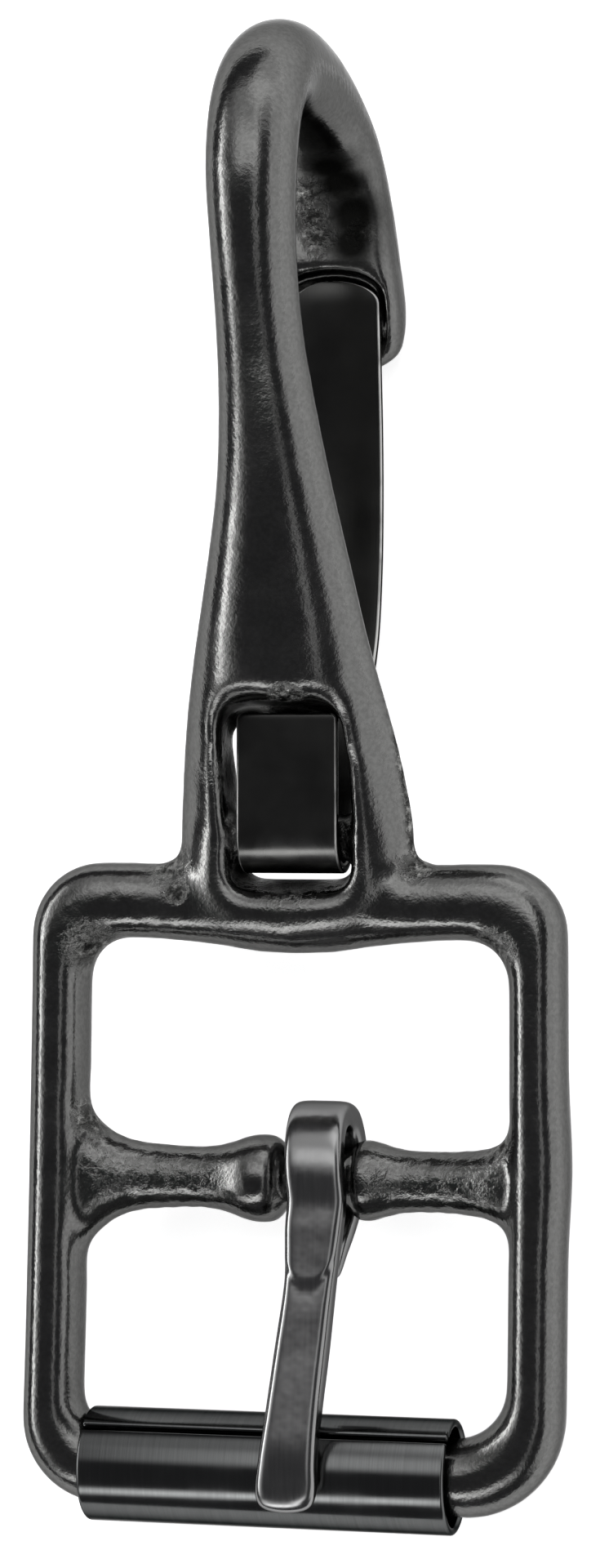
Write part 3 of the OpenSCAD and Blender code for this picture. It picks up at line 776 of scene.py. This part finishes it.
dull = add(tree, "ShaderNodeMapRange", {
    "Value": scratch.outputs["Fac"], "From Min": 0.25, "From Max": 0.75, "To Min": 0.15, "To Max": 0.22})
plated = add(tree, "ShaderNodeBsdfPrincipled", {
    "Base Color": colour("#808080"), "Metallic": 1.0, "Roughness": dull.outputs["Result"],
    "Specular Tint": colour("#8c8c8c"), "Normal": scored.outputs["Normal"]})
tree.links.new(plated.outputs["BSDF"], surface)
tongue.data.materials.append(material)
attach(tongue, "tongue")
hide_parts("tongue")


# The spring
# One leaf of hardened flat steel, folded round the crossbar in the window: a short leg in front, and the long
# leaf that bows out behind the shank and closes the hook against the seat in the nose. It is oiled black, not
# plated.

leaf_w = 6.0
leaf_t = 0.6
leaf_edge_r = 0.14
leaf_end_r = 0.1
leaf_round_left = 2.6
leaf_round_right = 1.4
leaf_least_share = 0.08
leg_corner_r = 0.4
leg_y = -2.3
fold_r = 1.8
fold = np.radians(np.linspace(180, 350, 9))
leg_rows = [[leg_y, z] for z in (27.1, 25.2, 23.5, 21.8)]
fold_rows = np.column_stack([crossbar_y + fold_r * np.cos(fold), crossbar_z + fold_r * np.sin(fold)]).tolist()
leaf_rows = [
    [2.2, 22.5], [4.2, 26.0], [6.1, 29.0], [7.6, 32.0], [8.4, 36.0], [8.6, 40.0], [8.5, 44.0], [8.1, 48.5],
    [7.7, 53.15],
]
fine_path = through(leg_rows + fold_rows + leaf_rows, 30)
spring_length = np.linalg.norm(np.diff(fine_path, axis=0), axis=1).sum()

# Rounded boxes carried along the path, closer together at both ends. The leaf's end is rounded by a quarter
# of an oval on each side, and the leg's end has small round corners.
end_steps = leaf_round_left * (1 - np.cos(np.radians(np.linspace(0, 90, 20))))
run = np.concatenate([
    end_steps, np.linspace(end_steps[-1], spring_length - end_steps[-1], 220)[1:-1],
    spring_length - end_steps[::-1]])
path = spaced(fine_path, run / spring_length)
left_edge, right_edge = (
    leaf_w / 2 * np.maximum(
        np.sqrt(1 - (1 - np.clip((spring_length - run) / height, 0, 1)) ** 2), leaf_least_share)
    for height in (leaf_round_left, leaf_round_right))
half_width = (left_edge + right_edge) / 2 - rounding(run, leg_corner_r)
middle_x = (right_edge - left_edge) / 2
half_thick = leaf_t / 2 - rounding(np.minimum(run, spring_length - run), leaf_end_r)
wide, far = box_offsets(half_width, half_thick, np.minimum(leaf_edge_r, half_thick), steps=5)
way = np.gradient(path, axis=0)
way /= np.linalg.norm(way, axis=1)[:, None]
leaf = np.stack([
    middle_x[:, None] + wide, path[:, :1] + far * way[:, 1:], path[:, 1:] - far * way[:, :1]], axis=-1)
spring = skin("leaf_spring", laid(leaf))
shade_smooth(spring)

# The edges are worn bright along the middle of their rounding, and a band of painted highlight
# brightens the front of the fold.
corner_wear = [0, 0.8, 1, 0.8, 0]
painted_fold_highlight = 0.2
painted_fold_highlight_z = 19.2
painted_fold_highlight_reach = 0.6
on_fold = np.exp(-((path[:, 1] - painted_fold_highlight_z) / painted_fold_highlight_reach) ** 2) * (path[:, 0] < crossbar_y)
wear_and_fold_highlight = np.zeros(len(spring.data.vertices))
wear_and_fold_highlight[:wide.size] = np.maximum(np.tile(corner_wear, 4), painted_fold_highlight * on_fold[:, None]).ravel()
mark(spring, "edge_wear_and_fold_highlight", wear_and_fold_highlight)

# Blued and oiled spring steel: nearly black, satin, with faint lines along the strip, drawn coarser than real
# ones, so that they show. Where it is worn, the bare steel shines through the oil's bloom, and the fold's
# painted highlight is drawn the same way.
line_gap = 0.12 * MM
line_length = 6 * MM
bloom_size = 2.5 * MM
material, tree, surface = new_material("oil blackened spring steel")
place = add(tree, "ShaderNodeTexCoord").outputs["Object"]
drawn = add(tree, "ShaderNodeMapping", {
    "Vector": place, "Scale": (1 / line_gap, 1 / line_length, 1 / line_length)})
lines = add(tree, "ShaderNodeTexNoise", {"Vector": drawn.outputs["Vector"], "Scale": 1.0, "Detail": 3.0})
bloom = add(tree, "ShaderNodeTexNoise", {"Vector": place, "Scale": 1 / bloom_size, "Detail": 3.0})
scored = add(tree, "ShaderNodeBump", {
    "Height": lines.outputs["Fac"], "Distance": 0.006 * MM, "Strength": 0.5})
dull = add(tree, "ShaderNodeMapRange", {
    "Value": bloom.outputs["Fac"], "From Min": 0.3, "From Max": 0.7, "To Min": 0.20, "To Max": 0.27})
edge_wear_and_fold_highlight = add(tree, "ShaderNodeAttribute", attribute_name="edge_wear_and_fold_highlight").outputs["Fac"]
rub = add(tree, "ShaderNodeMapRange", {
    "Value": bloom.outputs["Fac"], "From Min": 0.35, "From Max": 0.55, "To Min": 0.3})
# Edge wear, and the painted highlight on the fold, lighten the colour and dull the surface.
wear_and_highlight = add(tree, "ShaderNodeMath", {0: rub.outputs["Result"], 1: edge_wear_and_fold_highlight}, operation="MULTIPLY")
tone = add(tree, "ShaderNodeMix", {
    "Factor": wear_and_highlight.outputs["Value"], "A": colour("#3f3f3e"), "B": colour("#c4c4c2")}, data_type="RGBA")
dulled = add(tree, "ShaderNodeMath", {
    0: wear_and_highlight.outputs["Value"], 1: 0.3, 2: dull.outputs["Result"]}, operation="MULTIPLY_ADD")
blackened = add(tree, "ShaderNodeBsdfPrincipled", {
    "Base Color": tone.outputs["Result"], "Metallic": 1.0, "Roughness": dulled.outputs["Value"],
    "Specular Tint": colour("#8c8c8c"), "Normal": scored.outputs["Normal"]})
tree.links.new(blackened.outputs["BSDF"], surface)
spring.data.materials.append(material)
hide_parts("spring")
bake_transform(spring)


# The bench, the lights and the camera
# A sheet of white card on a light box, and a dark grey room above it. The buckle's upward faces mirror the
# room and the softboxes, and its steep sides mirror the card.

card_size = 1.6
card_glow = 0.68
mesh = bpy.data.meshes.new("card")
mesh.from_pydata([(x * card_size / 2, y * card_size / 2, 0) for x, y in ((-1, -1), (1, -1), (1, 1), (-1, 1))],
                 [], [(0, 1, 2, 3)])
card = bpy.data.objects.new("card", mesh)
bpy.context.scene.collection.objects.link(card)
material, tree, surface = new_material("white card")
sheet = add(tree, "ShaderNodeBsdfPrincipled", {
    "Base Color": colour("#f3f3f3"), "Roughness": 0.9, "Emission Color": colour("#ffffff"),
    "Emission Strength": card_glow})
tree.links.new(sheet.outputs["BSDF"], surface)
card.data.materials.append(material)

room = bpy.data.worlds.new("room")
room.use_nodes = True
room.node_tree.nodes["Background"].inputs["Color"].default_value = colour("#58585a")
room.node_tree.nodes["Background"].inputs["Strength"].default_value = 1.0
bpy.context.scene.world = room


def softbox(name, place, width, height, power, fade):
    """A flat rectangular light, in metres and watts, aimed at the buckle's middle. It fades to nothing at its
    edges, over the given share of its width and of its height."""
    light = bpy.data.lights.new(name, "AREA")
    light.shape = "RECTANGLE"
    light.size = width
    light.size_y = height
    light.energy = power
    light.use_nodes = True
    tree = light.node_tree
    tree.nodes.clear()
    on_light = add(tree, "ShaderNodeNewGeometry").outputs["Parametric"]
    spot = add(tree, "ShaderNodeSeparateXYZ", {"Vector": on_light})
    from_edges = [
        add(tree, "ShaderNodeMath", {0: spot.outputs[axis], 1: 0.5}, operation="PINGPONG").outputs["Value"]
        for axis in ("X", "Y")]
    sides = [
        add(tree, "ShaderNodeMapRange", {"Value": from_edge, "From Max": fade},
            interpolation_type="SMOOTHSTEP").outputs["Result"]
        for from_edge in from_edges]
    strength = add(tree, "ShaderNodeMath", {0: sides[0], 1: sides[1]}, operation="MULTIPLY").outputs["Value"]
    shine = add(tree, "ShaderNodeEmission", {"Strength": strength}).outputs["Emission"]
    add(tree, "ShaderNodeOutputLight", {"Surface": shine})
    lamp = bpy.data.objects.new(name, light)
    place = np.asarray(place, float)
    away = place / np.linalg.norm(place)
    side = np.cross([0, 1, 0.001], away)
    side /= np.linalg.norm(side)
    lamp.matrix_world = Matrix(np.vstack([
        np.column_stack([side, np.cross(away, side), away, place]), [0, 0, 0, 1]]).tolist())
    bpy.context.scene.collection.objects.link(lamp)


# The wall on the right lights the flanks, the strips draw the thin highlights, and the canopies and the
# ceiling give the soft grey on the arch, the roller and the tongue.
softbox("right wall", (0.54, 0.0, 0.14), 0.62, 1.7, 4.2, 0.25)
softbox("right canopy", (0.19, 0.0, 0.61), 0.18, 1.4, 0.75, 0.45)
softbox("left strip", (-0.52, 0.0, 0.30), 0.15, 1.1, 4.6, 0.5)
softbox("left glow", (-0.47, 0.0, 0.36), 0.36, 1.1, 2.3, 0.5)
softbox("near strip", (-0.15, -0.50, 0.33), 1.0, 0.22, 3.4, 0.5)
softbox("far ceiling", (-0.03, 0.20, 0.66), 1.0, 0.52, 2.9, 0.4)
softbox("far canopy", (0.05, 0.48, 0.46), 1.5, 0.56, 2.1, 0.3)
softbox("far wall", (0.25, 0.58, 0.12), 1.5, 0.60, 3.4, 0.3)

# The camera stands 26 cm in front of the buckle's face and 15 degrees to its right, and looks at the middle.
camera_turn = np.radians(15)
camera_distance = 260
camera_aside = 0.14
camera_up = 23
camera_lens = 102.375
camera_right = np.array([np.cos(camera_turn), np.sin(camera_turn), 0])
camera_ahead = np.array([-np.sin(camera_turn), np.cos(camera_turn), 0])
camera_target = camera_aside * camera_right + [0, 0, camera_up]
camera_place = camera_target - camera_distance * camera_ahead
turned = np.column_stack([camera_right, [0, 0, 1], -camera_ahead])
camera = bpy.data.objects.new("camera", bpy.data.cameras.new("camera"))
camera.data.lens = camera_lens
camera.data.clip_start = 0.01
camera.matrix_world = Matrix(np.vstack([
    np.column_stack([laid_turn @ turned, laid(camera_place)]), [0, 0, 0, 1]]).tolist())
bpy.context.scene.collection.objects.link(camera)
bpy.context.scene.camera = camera
bpy.context.scene.view_settings.view_transform = "Standard"
